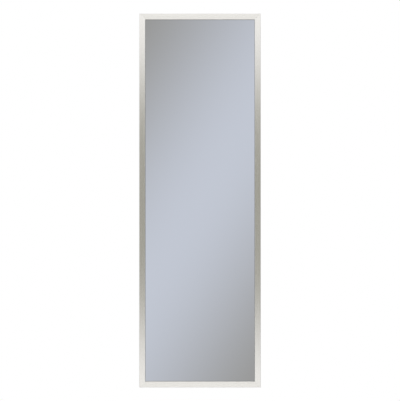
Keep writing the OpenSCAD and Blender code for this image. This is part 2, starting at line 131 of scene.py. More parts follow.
class CabinetSettings(bpy.types.PropertyGroup):
    """Sizes and colours of the box behind the door"""
    box_colour: FloatVectorProperty(
        name="Box colour", description="Clear anodising of the box",
        subtype="COLOR", size=4, min=0, max=1, default=linear("#E4E5E7"))
    box_roughness: FloatProperty(
        name="Box roughness", description="Roughness of the satin anodising",
        subtype="FACTOR", min=0, max=1, default=0.36)
    edge_round: FloatProperty(
        name="Edge rounding", description="Rounding along the edges of the box",
        unit="LENGTH", min=0, default=0.25 * MM)


class GlassSettings(bpy.types.PropertyGroup):
    """Sizes and colours of the mirrors and the shelves"""
    silver_colour: FloatVectorProperty(
        name="Silvering", description="Colour of a white reflection in the mirrors",
        subtype="COLOR", size=4, min=0, max=1, default=linear("#F0F2F2"))
    arris: FloatProperty(
        name="Arris", description="Width of the ground edge of a mirror",
        unit="LENGTH", min=0, default=0.4 * MM)
    shelf_corner: FloatProperty(
        name="Shelf corner", description="Radius of the front corners of a shelf",
        unit="LENGTH", min=0, default=6 * MM)
    shelf_edge: FloatProperty(
        name="Shelf edge", description="Rounding of the polished edge of a shelf",
        unit="LENGTH", min=0, default=1.2 * MM)


class HardwareSettings(bpy.types.PropertyGroup):
    """Sizes of the screws and fittings"""
    small_shank: FloatProperty(
        name="Small screw shank", description="Diameter of the countersunk screws",
        unit="LENGTH", min=0, default=2.8 * MM)
    clamp_shank: FloatProperty(
        name="Clamp screw shank", description="Diameter of the shelf clamp screws",
        unit="LENGTH", min=0, default=3.9 * MM)
    clamp_head: FloatProperty(
        name="Clamp screw head", description="Height of the heads of the shelf clamp screws",
        unit="LENGTH", min=0, default=3 * MM)
    clamp_socket: FloatProperty(
        name="Clamp screw socket", description="Width of their hexagons across the corners",
        unit="LENGTH", min=0, default=3.6 * MM)
    key_socket: FloatProperty(
        name="Key screw socket", description="Width of the hexagons in the frame's key screws",
        unit="LENGTH", min=0, default=2 * MM)
    knurl: FloatProperty(
        name="Knurl", description="Depth of the grooves round the heads of the clamp screws",
        unit="LENGTH", min=0, default=0.16 * MM)
    bumper_dome: FloatProperty(
        name="Bumper dome", description="Radius of the domed top of a door bumper",
        unit="LENGTH", min=0, default=7 * MM)
    contact_film: FloatProperty(
        name="Contact film", description="Gap over a clear pad, and how far it sinks in below",
        unit="LENGTH", min=0, default=0.03 * MM)


class StageSettings(bpy.types.PropertyGroup):
    """The camera, the floor and the light of the studio"""
    camera_distance: FloatProperty(
        name="Camera distance", description="From the front of the door to the camera",
        unit="LENGTH", min=0, default=3.0)
    picture_height: FloatProperty(
        name="Picture height", description="Height of the picture at the front of the door",
        unit="LENGTH", min=0, default=1.0724)
    hanging_height: FloatProperty(
        name="Hanging height", description="From the floor to the middle of the cabinet",
        unit="LENGTH", min=0, default=1.5)
    floor_radius: FloatProperty(
        name="Floor radius", description="Radius at which the floor has become backdrop",
        unit="LENGTH", min=0, default=2.5)
    floor_colour: FloatVectorProperty(
        name="Floor colour", description="Pale studio floor",
        subtype="COLOR", size=4, min=0, max=1, default=linear("#F6F6F5"))
    ridge_colour: FloatVectorProperty(
        name="Soft light", description="Brightest part of the studio that the mirrors show",
        subtype="COLOR", size=4, min=0, max=1, default=linear("#CED2DE"))
    shade_colour: FloatVectorProperty(
        name="Soft shade", description="Darkest part of the studio that the mirrors show",
        subtype="COLOR", size=4, min=0, max=1, default=linear("#8D887E"))
    band_slant: FloatProperty(
        name="Slant of the soft light", description="How far its bands lean from upright",
        subtype="ANGLE", default=math.radians(33.25))
    band_spread: FloatProperty(
        name="Spread of the soft light", description="Standard width, as the sine of an angle",
        min=0, default=0.079)
    band_spacing: FloatProperty(
        name="Spacing of the soft light", description="From a band's middle to the next shade",
        min=0, default=0.17)
    belt_colour: FloatVectorProperty(
        name="Belt colour", description="Studio wall at eye height, as brushed metal shows it",
        subtype="COLOR", size=4, min=0, max=1, default=linear("#A09F94"))
    card_colour: FloatVectorProperty(
        name="Card colour", description="Light cards above and below that belt",
        subtype="COLOR", size=4, min=0, max=1, default=linear("#FFFFFC"))
    card_level: FloatProperty(
        name="Card level", description="Brightness of the cards and the belt",
        min=0, default=1.04)
    strip_level: FloatProperty(
        name="Strip level", description="Brightness of the strip light in the middle of each",
        min=0, default=1.3)
    floor_tone: FloatVectorProperty(
        name="Low tone", description="Lower half of the room beside and behind the cabinet",
        subtype="COLOR", size=4, min=0, max=1, default=linear("#ABAAA8"))
    ceiling_tone: FloatVectorProperty(
        name="High tone", description="Upper half of the room beside and behind the cabinet",
        subtype="COLOR", size=4, min=0, max=1, default=linear("#F4F5F7"))
    key_watts: FloatProperty(
        name="Key light", description="Softbox in front, high on the left", unit="POWER",
        min=0, default=42)
    fill_watts: FloatProperty(
        name="Fill light", description="Softbox in front on the right", unit="POWER",
        min=0, default=16)
    rear_watts: FloatProperty(
        name="Rear light", description="Softbox behind, high up", unit="POWER",
        min=0, default=26)
    room_level: FloatProperty(
        name="Room level", description="Grey light from all round", subtype="FACTOR",
        min=0, default=0.62)


SETTINGS = {
    "cabinet_door": DoorSettings,
    "cabinet_box": CabinetSettings,
    "cabinet_glass": GlassSettings,
    "cabinet_hardware": HardwareSettings,
    "cabinet_stage": StageSettings,
}


# Finishes

def add(tree, kind, settings, sockets):
    """Adds a node with its settings. A socket gets a value, or a link from another node's
    first output or from any socket."""
    node = tree.nodes.new(kind)
    for name, value in settings.items():
        setattr(node, name, value)
    for key, value in sockets.items():
        if isinstance(value, bpy.types.Node):
            value = value.outputs[0]
        if isinstance(value, bpy.types.NodeSocket):
            tree.links.new(value, node.inputs[key])
        else:
            node.inputs[key].default_value = value
    return node


def finish(name, build, *values, **named):
    """The material of that name, built the first time that it is asked for."""
    material = bpy.data.materials.get(name)
    if material is None:
        material = bpy.data.materials.new(name)
        material.use_nodes = True
        material.node_tree.nodes.clear()
        add(material.node_tree, "ShaderNodeOutputMaterial", {},
            build(material.node_tree, *values, **named))
    return material


def pattern(tree, size, detail):
    """Noise over the object's own coordinates, size being its grain in mm along X, Y and Z."""
    place = add(tree, "ShaderNodeTexCoord", {}, {})
    scaled = add(tree, "ShaderNodeMapping", {},
                 {"Vector": place.outputs["Object"], "Scale": [1 / (part * MM) for part in size]})
    return add(tree, "ShaderNodeTexNoise", {},
               {"Vector": scaled, "Scale": 1.0, "Detail": detail, "Roughness": 0.6})


def lines_along(tree, axis, width, length):
    """Noise drawn out along one axis: lines of about that width and length in mm."""
    size = [width] * 3
    size[axis] = length
    return pattern(tree, size, detail=4)


def surface(tree, noise, colour, constants, *, spread, roughness, uneven, relief):
    """A shader that follows the noise: its colour by the share spread, its roughness by the
    amount uneven, and its bumps by relief, their height in mm. The constants are sockets
    of the shader that are the same all over."""
    tone = add(tree, "ShaderNodeMix", COLOURS,
               {MIX_FACTOR: noise, MIX_A: times(colour, 1 - spread),
                MIX_B: times(colour, 1 + spread)})
    dullness = add(tree, "ShaderNodeMapRange", {},
                   {"Value": noise, "From Min": NOISE_LOW, "From Max": NOISE_HIGH,
                    "To Min": roughness - uneven, "To Max": roughness + uneven})
    bumps = add(tree, "ShaderNodeBump", {}, {"Height": noise, "Distance": relief * MM})
    sockets = {"Base Color": tone.outputs[MIX_COLOUR], "Roughness": dullness, "Normal": bumps}
    return {"Surface": add(tree, "ShaderNodeBsdfPrincipled", {}, {**sockets, **constants})}


def brushed_metal(tree, colour, roughness, along, stretch, scratch):
    """Metal brushed or drawn along one axis: fine lines along it that spread a reflection
    across them. Real scratches are finer; these are as wide in mm as scratch says, to show."""
    lines = lines_along(tree, along, width=scratch, length=120)
    tangent = add(tree, "ShaderNodeTangent",
                  {"direction_type": "RADIAL", "axis": "XYZ"[along]}, {})
    return surface(tree, lines, colour,
                   {"Metallic": 1.0, "Anisotropic": stretch, "Tangent": tangent},
                   spread=0.04, roughness=roughness, uneven=0.03, relief=0.003)


def extruded_metal(tree, colour, roughness, along):
    """Aluminium pressed through a die, etched and anodised clear: an even satin, with faint
    lines along it that the die leaves."""
    lines = lines_along(tree, along, width=1.6, length=500)
    return surface(tree, lines, colour, {"Metallic": 1.0},
                   spread=0.06, roughness=roughness, uneven=0.05, relief=0.006)


def mill_sheet(tree, colour):
    """Aluminium as it leaves the rolls: close rolling lines up the sheet, in cloudy patches."""
    clouds = pattern(tree, (60, 60, 110), detail=2)
    lines = lines_along(tree, Z, width=0.9, length=220)
    both = add(tree, "ShaderNodeMix", {}, {"Factor": 0.6, "A": clouds, "B": lines})
    tangent = add(tree, "ShaderNodeTangent", {"direction_type": "RADIAL", "axis": "Z"}, {})
    return surface(tree, both, colour,
                   {"Metallic": 1.0, "Anisotropic": 0.4, "Tangent": tangent},
                   spread=0.14, roughness=0.32, uneven=0.08, relief=0.006)


def plated_steel(tree, colour, roughness):
    """Steel with a thin bright plating: a faint mottle where the plating varies."""
    mottle = pattern(tree, (1.5, 1.5, 1.5), detail=2)
    return surface(tree, mottle, colour, {"Metallic": 1.0},
                   spread=0.04, roughness=roughness, uneven=0.04, relief=0.0008)


def silvered_glass(tree, colour):
    """Float glass silvered behind: a perfect reflection with the faint tint of the glass.
    The silver varies by less than a hundredth over the pane."""
    silver = pattern(tree, (160, 160, 160), detail=1)
    spread = 0.004
    tone = add(tree, "ShaderNodeMix", COLOURS,
               {MIX_FACTOR: silver, MIX_A: times(colour, 1 - spread),
                MIX_B: times(colour, 1 + spread)})
    return {"Surface": add(tree, "ShaderNodeBsdfPrincipled", {},
                           {"Base Color": tone.outputs[MIX_COLOUR], "Metallic": 1.0,
                            "Roughness": 0.0})}


def ground_glass_edge(tree):
    """The ground edge of a pane: grey-green and frosted by the belt."""
    grit = pattern(tree, (0.3, 0.3, 0.3), detail=2)
    return surface(tree, grit, linear("#8FA79B"), {"IOR": 1.52},
                   spread=0.1, roughness=0.42, uneven=0.08, relief=0.01)


def polished_glass_edge(tree):
    """The polished edge of a clear pane: it shows the green of the glass along its length, with
    painted light and shade in streaks, lighter and darker where light would be passed on inside
    it."""
    # Painted light: the lighter and darker streaks stand for light passed on inside the glass,
    # not for the glass's own colour
    painted_light_streaks = pattern(tree, (26, 26, 1.4), detail=3)
    return surface(tree, painted_light_streaks, linear("#86A899"), {"IOR": 1.52},
                   spread=0.3, roughness=0.08, uneven=0.04, relief=0.004)


def backing_paint(tree):
    """Grey paint rolled over the silver to keep damp out: dull, with a slight orange peel."""
    peel = pattern(tree, (1.5, 1.5, 1.5), detail=2)
    return surface(tree, peel, linear("#6F7478"), {"IOR": 1.5},
                   spread=0.04, roughness=0.5, uneven=0.04, relief=0.01)


def clear_glass(tree, colour, density):
    """Float glass: clear through its thickness and green along it, where light goes far."""
    return {"Surface": add(tree, "ShaderNodeBsdfPrincipled", {},
                           {"Base Color": linear("#FFFFFF"), "Roughness": 0.0, "IOR": 1.52,
                            "Transmission Weight": 1.0}),
            "Volume": add(tree, "ShaderNodeVolumeAbsorption", {},
                          {"Color": colour, "Density": density})}


def clear_rubber(tree):
    """Cast polyurethane: clear and a little milky, with a soft shine."""
    haze = pattern(tree, (2, 2, 2), detail=2)
    return surface(tree, haze, linear("#F7F9F8"), {"IOR": 1.48, "Transmission Weight": 0.94},
                   spread=0.02, roughness=0.08, uneven=0.04, relief=0.0005)


def rubber_gasket(tree, colour):
    """Extruded soft rubber: matt and mid grey, with a fine grain."""
    grain = pattern(tree, (0.5, 0.5, 0.5), detail=3)
    return surface(tree, grain, colour, {"IOR": 1.5},
                   spread=0.1, roughness=0.6, uneven=0.06, relief=0.006)


def moulded_plastic(tree, colour):
    """White acetal moulded in an eroded tool: slightly soft to the light, finely textured."""
    texture = pattern(tree, (0.35, 0.35, 0.35), detail=3)
    return surface(tree, texture, colour, {"IOR": 1.48, "Subsurface Weight": 0.08,
                                           "Subsurface Radius": [1 * MM] * 3},
                   spread=0.02, roughness=0.38, uneven=0.05, relief=0.006)


def cast_zinc(tree, colour):
    """Die-cast zinc, tumbled: dull grey metal with a grainy skin."""
    skin = pattern(tree, (0.8, 0.8, 0.8), detail=4)
    return surface(tree, skin, colour, {"Metallic": 1.0},
                   spread=0.1, roughness=0.5, uneven=0.06, relief=0.012)


def pressed_board(tree, colour):
    """Hardboard: brown wood fibres pressed flat, darker and lighter from fibre to fibre."""
    fibres = pattern(tree, (0.6, 0.6, 4), detail=5)
    return surface(tree, fibres, colour, {"IOR": 1.5},
                   spread=0.25, roughness=0.75, uneven=0.08, relief=0.025)


def frame_finish(along):
    """Nickel-toned brushed aluminium for a door bar that runs along that axis."""
    door = bpy.context.scene.cabinet_door
    return finish("brushed_nickel_anodising_along_" + "xyz"[along], brushed_metal,
                  list(door.frame_colour), door.frame_roughness, along, stretch=0.98, scratch=0.6)


def box_finish(along):
    """Clear satin anodising for a profile of the box that runs along that axis."""
    box = bpy.context.scene.cabinet_box
    return finish("satin_clear_anodising_along_" + "xyz"[along], extruded_metal,
                  list(box.box_colour), box.box_roughness, along)


def sheet_finish():
    return finish("mill_finish_sheet", mill_sheet, linear("#D6D8DA"))


def hinge_finish():
    """Stainless strip, drawn along its length before the knuckles are rolled."""
    return finish("drawn_stainless_strip", brushed_metal, linear("#CFCDCA"), roughness=0.28,
                  along=Z, stretch=0.6, scratch=0.4)


def screw_finish():
    return finish("zinc_plated_steel", plated_steel, linear("#D3D7DB"), roughness=0.27)


def nickel_finish():
    return finish("nickel_plated_steel", plated_steel, linear("#D8D2C8"), roughness=0.16)


def zinc_finish():
    return finish("die_cast_zinc", cast_zinc, linear("#9C9EA0"))


def rubber_finish():
    return finish("clear_polyurethane", clear_rubber)


def mirror_finishes():
    """Silvered face, ground edge and painted back, in the order that silvered_pane uses."""
    glass = bpy.context.scene.cabinet_glass
    return [finish("silvered_float_glass", silvered_glass, list(glass.silver_colour)),
            finish("ground_glass_edge", ground_glass_edge),
            finish("mirror_backing_paint", backing_paint)]


# Making pieces

def joined_copy(node):
    """A bmesh of the CAD node with its loose triangles joined."""
    bm = bmesh.new()
    bm.from_mesh(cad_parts[node].data)
    bmesh.ops.remove_doubles(bm, verts=bm.verts, dist=JOIN)
    return bm


def merged_copy(node):
    """A bmesh of the CAD node with its triangles joined into whole flat faces."""
    bm = joined_copy(node)
    bmesh.ops.dissolve_limit(bm, angle_limit=FLAT, verts=bm.verts, edges=bm.edges)
    return bm


def block(node):
    """A bmesh of the box that holds the node."""
    low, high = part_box(node)
    bm = bmesh.new()
    bmesh.ops.create_cube(bm, size=1, matrix=Matrix.Translation((low + high) / 2)
                          @ Matrix.Diagonal((*(high - low), 1)))
    return bm


def solids(node):
    """The boxes of the CAD node's separate solids, as pairs of a lowest and a highest corner."""
    bm = joined_copy(node)
    boxes, met = [], set()
    for start in bm.verts:
        if start in met:
            continue
        met.add(start)
        waiting, places = [start], []
        while waiting:
            vert = waiting.pop()
            places.append(vert.co.copy())
            for edge in vert.link_edges:
                other = edge.other_vert(vert)
                if other not in met:
                    met.add(other)
                    waiting.append(other)
        boxes.append((Vector([min(part) for part in zip(*places)]),
                      Vector([max(part) for part in zip(*places)])))
    bm.free()
    return boxes


def bevel(bm, edges, width, segments):
    """Rounds the edges, their faces cut back by the width."""
    bmesh.ops.bevel(bm, geom=edges, offset=width, offset_type="OFFSET", segments=segments,
                    profile=0.5, affect="EDGES", material=-1, clamp_overlap=True)


def round_edges(bm, width, shortest, segments=2):
    """Rounds every outward corner edge that is longer than shortest."""
    corners = [edge for edge in bm.edges
               if edge.is_manifold and edge.is_convex and edge.calc_length() > shortest
               and edge.calc_face_angle() > CORNER]
    bevel(bm, corners, width, segments)
    bmesh.ops.dissolve_degenerate(bm, dist=JOIN, edges=bm.edges)


def place_piece(bm, name, materials, body, node):
    """Makes the bmesh an object that rides on the body and stands for the node."""
    mesh = bpy.data.meshes.new(name)
    bm.to_mesh(mesh)
    bm.free()
    for material in materials:
        mesh.materials.append(material)
    mesh.shade_smooth()
    mesh.set_sharp_from_angle(angle=ROUND)
    piece = bpy.data.objects.new(name, mesh)
    bpy.context.scene.collection.objects.link(piece)
    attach(piece, body)
    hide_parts(node)


def refined(node, material, body, width, shortest, segments=2):
    """A copy of the node with its corners rounded, in the node's place."""
    bm = merged_copy(node)
    round_edges(bm, width, shortest, segments)
    place_piece(bm, node + "_finished", [material], body, node)


def dress(node, material):
    """Gives a carried-over CAD node its finish."""
    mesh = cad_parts[node].data
    mesh.materials.clear()
    mesh.materials.append(material)


def stamp(target, shape, matrix):
    """Adds a copy of the shape to the bmesh, placed by the matrix."""
    before = len(target.verts)
    target.from_mesh(shape)
    target.verts.ensure_lookup_table()
    bmesh.ops.transform(target, matrix=matrix, verts=target.verts[before:])


def along_axis(place, direction):
    """Turns a shape built with its head at z = 0 facing +Z, to face the direction."""
    return Matrix.Translation(place) @ UP.rotation_difference(direction).to_matrix().to_4x4()


def ring(bm, radius, height, sides, cap=False):
    """A circle of edges about Z at that height, filled if it is capped."""
    made = bmesh.ops.create_circle(bm, cap_ends=cap, radius=radius, segments=sides,
                                   matrix=Matrix.Translation((0, 0, height)))
    verts = made["verts"]
    return [edge for edge in bm.edges if edge.verts[0] in verts and edge.verts[1] in verts]


def drawn_out(bm, rim, steps):
    """Extrudes a rim about Z through rings of the given radius and height, and closes it."""
    for radius, height in steps:
        now = max(vert.co.xy.length for edge in rim for vert in edge.verts)
        drop = height - rim[0].verts[0].co.z
        made = bmesh.ops.extrude_edge_only(bm, edges=rim)["geom"]
        verts = [part for part in made if isinstance(part, bmesh.types.BMVert)]
        rim = [part for part in made if isinstance(part, bmesh.types.BMEdge)]
        rim = [edge for edge in rim if edge.verts[0] in verts and edge.verts[1] in verts]
        bmesh.ops.scale(bm, vec=(radius / now, radius / now, 1), verts=verts)
        bmesh.ops.translate(bm, vec=(0, 0, drop), verts=verts)
    bmesh.ops.contextual_create(bm, geom=rim)


def kept_shape(bm, name):
    """Keeps the bmesh as a mesh that is stamped many times."""
    bmesh.ops.recalc_face_normals(bm, faces=bm.faces)
    mesh = bpy.data.meshes.new(name)
    bm.to_mesh(mesh)
    bm.free()
    return mesh


def cross_screw(radius, shank, length):
    """A countersunk screw with a tapered cross recess, its head at z = 0 facing +Z."""
    sides = 24
    # The recess: its span, half the width of its arms, its depth and how far it tapers
    span, arm, deep, taper = 0.62 * radius, 0.3 * MM, 0.4 * radius, 0.72
    within = 1.02 * span
    # The straight rim of the head, and the radius of the tip
    land, tip = 0.12 * MM, 0.4 * shank
    bm = bmesh.new()
    bmesh.ops.create_circle(bm, cap_ends=True, radius=radius, segments=sides)
    bmesh.ops.inset_region(bm, faces=bm.faces, thickness=radius - span, use_boundary=True,
                           use_even_offset=True)
    for across in (Vector((1, 0, 0)), Vector((0, 1, 0))):
        for side in (-1, 1):
            inside = [face for face in bm.faces
                      if all(vert.co.length < within for vert in face.verts)]
            parts = {part for face in inside for part in (*face.verts, *face.edges, face)}
            bmesh.ops.bisect_plane(bm, geom=list(parts), plane_co=across * arm * side,
                                   plane_no=across, dist=JOIN)
    cross = [face for face in bm.faces
             if all(vert.co.length < within for vert in face.verts)
             and min(map(abs, face.calc_center_median().xy)) < arm]
    made = bmesh.ops.extrude_face_region(bm, geom=cross)["geom"]
    floor = [part for part in made if isinstance(part, bmesh.types.BMVert)]
    bmesh.ops.delete(bm, geom=[face for face in cross if face.is_valid], context="FACES")
    bmesh.ops.scale(bm, vec=(taper, taper, 1), verts=floor)
    bmesh.ops.translate(bm, vec=(0, 0, -deep), verts=floor)
    rim = [edge for edge in bm.edges if edge.is_boundary]
    cone = radius - shank
    drawn_out(bm, rim, [(radius, -land), (shank, -land - cone), (shank, shank - length),
                        (tip, -length)])
    return kept_shape(bm, "cross_screw")


def socket_screw(radius, head, shank, length, socket, knurl):
    """A screw with a hexagon socket, the top of its head at z = 0 facing +Z, and grooves
    round the head where there is one."""
    sides = 72
    # The chamfers, and the depth of the socket
    edge, deep = 0.3 * MM, 1.8 * MM
    bm = bmesh.new()
    hexagon = ring(bm, socket / 2, 0, 6)
    rim = ring(bm, radius - edge, 0, sides)
    bmesh.ops.bridge_loops(bm, edges=hexagon + rim)
    drawn_out(bm, hexagon, [(socket / 2, -deep)])
    rim = [part for part in bm.edges if part.is_boundary]
    steps = [(radius, -edge)]
    if head:
        steps += [(radius, edge - head), (radius - edge, -head), (shank, -head)]
    drawn_out(bm, rim, steps + [(shank, edge - length), (shank - edge, -length)])
    if head:
        wide = [vert for vert in bm.verts if vert.co.xy.length > radius - JOIN]
        turn = 2 * math.pi / sides
        low = [vert for vert in wide if round(math.atan2(vert.co.y, vert.co.x) / turn) % 2]
        bmesh.ops.scale(bm, vec=(1 - knurl / radius, 1 - knurl / radius, 1), verts=low)
    return kept_shape(bm, "socket_screw")


def bumper(radius, height, dome):
    """A round bumper with a domed top, the top at z = 0 facing +Z."""
    sides, rounds, edge = 48, 12, 0.3 * MM
    reaches = [radius * (n + 1) / rounds for n in range(rounds)]
    arc = [(reach, math.sqrt(dome ** 2 - reach ** 2) - dome) for reach in reaches]
    bm = bmesh.new()
    rim = ring(bm, *arc[0], sides, cap=True)
    drawn_out(bm, rim, arc[1:] + [(radius, -height)])
    round_edges(bm, width=edge, shortest=0, segments=8)
    return kept_shape(bm, "bumper")


def screw_size(node, along):
    """The radius and the length of the node's round solids, which lie along that axis."""
    low, high = solids(node)[0]
    size = high - low
    return size[(along + 1) % 3] / 2, size[along]


def stamped(node, shape, direction):
    """A bmesh with the shape in the place of each of the node's solids, its top facing the
    way that direction gives for the middle of a solid."""
    bm = bmesh.new()
    for low, high in solids(node):
        facing = direction((low + high) / 2)
        reach = sum(abs(facing[i]) * (high[i] - low[i]) for i in (X, Y, Z)) / 2
        stamp(bm, shape, along_axis((low + high) / 2 + facing * reach, facing))
    return bm


def screws(node, name, screw, direction, body):
    """A screw in the place of each of the node's solids."""
    bm = stamped(node, screw, direction)
    place_piece(bm, name, [screw_finish()], body, node)


def silvered_pane(node, body, facing):
    """A mirror in the place of the node: silvered face, ground edges and painted back."""
    bm = block(node)
    arris = bpy.context.scene.cabinet_glass.arris
    round_edges(bm, width=arris, shortest=0, segments=1)
    silver, edge, paint = range(3)
    for face in bm.faces:
        turned = face.normal.dot(facing)
        face.material_index = (silver if turned > SQUARE_ON
                               else paint if turned < -SQUARE_ON else edge)
    place_piece(bm, node + "_pane", mirror_finishes(), body, node)


# Operators

class CABINET_OT_door_frame(bpy.types.Operator):
    """Four brushed bars with softened edges and hairline mitres"""
    bl_idname = "cabinet.door_frame"
    bl_label = "Door frame"

    def execute(self, context):
        door = context.scene.cabinet_door
        bars = {"door_stile_left": Z, "door_stile_right": Z,
                "door_rail_top": X, "door_rail_bottom": X}
        for node, along in bars.items():
            low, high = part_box(node)
            bm = merged_copy(node)
            round_edges(bm, door.edge_round, shortest=100 * MM)
            shorter = [1, 1, 1]
            shorter[along] = 1 - 2 * door.mitre_gap / (high[along] - low[along])
            bmesh.ops.scale(bm, vec=shorter, verts=bm.verts)
            place_piece(bm, node + "_bar", [frame_finish(along)], "door", node)
        dress("door_corner_keys", zinc_finish())
        return {"FINISHED"}


class CABINET_OT_door_glass(bpy.types.Operator):
    """Front and inner mirrors, the core board between them and the gasket round them"""
    bl_idname = "cabinet.door_glass"
    bl_label = "Door glass"

    def execute(self, context):
        silvered_pane("front_mirror", "door", -TO_WALL)
        silvered_pane("inner_mirror", "door", TO_WALL)
        dress("core_board", finish("pressed_hardboard", pressed_board, linear("#8A6B4C")))
        colour = list(context.scene.cabinet_door.gasket_colour)
        refined("glazing_gasket", finish("soft_rubber_gasket", rubber_gasket, colour),
                "door", width=0.2 * MM, shortest=100 * MM)
        return {"FINISHED"}


class CABINET_OT_box(bpy.types.Operator):
    """The extruded sides, top and bottom of the box with their corner keys"""
    bl_idname = "cabinet.box"
    bl_label = "Box"

    def execute(self, context):
        width = context.scene.cabinet_box.edge_round
        profiles = {"side_left": Z, "side_right": Z, "top_panel": X, "bottom_panel": X}
        for node, along in profiles.items():
            refined(node, box_finish(along), "cabinet", width,
                    shortest=20 * MM)
        dress("body_corner_keys", zinc_finish())
        return {"FINISHED"}


class CABINET_OT_back(bpy.types.Operator):
    """The back sheet, its screws and mirror, and the rails that take the wall screws"""
    bl_idname = "cabinet.back"
    bl_label = "Back"

    def execute(self, context):
        width = context.scene.cabinet_box.edge_round
        refined("back_panel", sheet_finish(), "cabinet", width,
                shortest=20 * MM)
        for node in ("mount_rail_top", "mount_rail_bottom"):
            refined(node, box_finish(X), "cabinet", width, shortest=2 * MM)
        silvered_pane("back_mirror", "cabinet", -TO_WALL)
        shank = context.scene.cabinet_hardware.small_shank / 2
        radius, length = screw_size("back_screws", Y)
        screw = cross_screw(radius, shank, length)
        screws("back_screws", "back_panel_screws", screw, lambda place: TO_WALL, "cabinet")
        return {"FINISHED"}


class CABINET_OT_hinge(bpy.types.Operator):
    """The continuous hinge: two stainless leaves, the pin and the screws"""
    bl_idname = "cabinet.hinge"
    bl_label = "Hinge"

    def execute(self, context):
        for node, body in (("hinge_leaf_body", "cabinet"), ("hinge_leaf_door", "door")):
            refined(node, hinge_finish(), body, width=0.15 * MM,
                    shortest=0.28 * MM)
        dress("hinge_pin", hinge_finish())
        shank = context.scene.cabinet_hardware.small_shank / 2
        radius, length = screw_size("hinge_body_screws", Y)
        screw = cross_screw(radius, shank, length)
        screws("hinge_body_screws", "hinge_screws_in_box", screw, lambda place: -TO_WALL,
               "cabinet")
        screws("hinge_door_screws", "hinge_screws_in_door", screw, lambda place: TO_WALL, "door")
        screws("strike_screws", "strike_plate_screws", screw, lambda place: TO_WALL, "door")
        return {"FINISHED"}


class CABINET_OT_catches(bpy.types.Operator):
    """Magnetic catches, their strike plates, the door's bumpers and its key screws"""
    bl_idname = "cabinet.catches"
    bl_label = "Catches"

    def execute(self, context):
        plastic = finish("white_acetal", moulded_plastic, linear("#F1F1EE"))
        refined("catch_housings", plastic, "cabinet", width=0.5 * MM,
                shortest=0.5 * MM, segments=3)
        refined("catch_magnets", nickel_finish(), "cabinet", width=0.2 * MM,
                shortest=0.3 * MM)
        refined("strike_plates", nickel_finish(), "door", width=0.25 * MM,
                shortest=0.5 * MM)
        hardware = context.scene.cabinet_hardware
        radius, length = screw_size("door_key_screws", Y)
        screw = socket_screw(radius, head=0, shank=radius, length=length,
                             socket=hardware.key_socket, knurl=0)
        screws("door_key_screws", "frame_key_screws", screw, lambda place: TO_WALL, "door")
        radius, height = screw_size("door_bumpers", Y)
        dome = bumper(radius, height, hardware.bumper_dome)
        bm = stamped("door_bumpers", dome, lambda place: TO_WALL)
        bmesh.ops.translate(bm, vec=-TO_WALL * hardware.contact_film, verts=bm.verts)
        place_piece(bm, "door_bumpers_domed", [rubber_finish()], "door",
                    "door_bumpers")
        return {"FINISHED"}


class CABINET_OT_shelves(bpy.types.Operator):
    """Polished glass shelves on brackets that clamp to the tracks"""
    bl_idname = "cabinet.shelves"
    bl_label = "Shelves"

    def execute(self, context):
        hardware = context.scene.cabinet_hardware
        glass = context.scene.cabinet_glass
        width = context.scene.cabinet_box.edge_round
        panes = [finish("clear_float_glass", clear_glass, linear("#CFEBDD"), density=9.0),
                 finish("polished_glass_edge", polished_glass_edge)]
        radius, length = screw_size("shelf_1_clamp_screws", X)
        clamp = socket_screw(radius, hardware.clamp_head, hardware.clamp_shank / 2, length,
                             hardware.clamp_socket, hardware.knurl)
        for n in SHELVES:
            shelf = f"shelf_{n}"
            self.pane(shelf, panes, glass)
            for side in ("left", "right"):
                refined(f"{shelf}_bracket_{side}", box_finish(Y), shelf,
                        width, shortest=1 * MM)
            pads = merged_copy(f"{shelf}_pads")
            round_edges(pads, width=0.15 * MM, shortest=0.5 * MM)
            bmesh.ops.translate(pads, vec=-UP * hardware.contact_film, verts=pads.verts)
            place_piece(pads, f"{shelf}_pads_finished", [rubber_finish()], shelf,
                        f"{shelf}_pads")
            refined(f"{shelf}_track_nuts", screw_finish(), shelf,
                    width=0.2 * MM, shortest=1 * MM)
            screws(f"{shelf}_clamp_screws", f"{shelf}_clamps", clamp,
                   lambda place: RIGHT if place.x < 0 else -RIGHT, shelf)
        return {"FINISHED"}

    def pane(self, shelf, materials, glass):
        """One glass shelf, its front corners round and its edge polished."""
        node = shelf + "_glass"
        bm = block(node)
        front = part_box(node)[0].y + JOIN
        corners = [edge for edge in bm.edges
                   if all(vert.co.y < front for vert in edge.verts)
                   and abs(edge.verts[0].co.z - edge.verts[1].co.z) > JOIN]
        bevel(bm, corners, glass.shelf_corner, segments=14)
        rims = [edge for edge in bm.edges if edge.calc_face_angle() > CORNER
                and abs(edge.verts[0].co.z - edge.verts[1].co.z) < JOIN]
        bevel(bm, rims, glass.shelf_edge, segments=4)
        clear, polished = range(2)
        for face in bm.faces:
            face.material_index = clear if abs(face.normal.z) > SQUARE_ON else polished
        place_piece(bm, shelf + "_pane", materials, shelf, node)


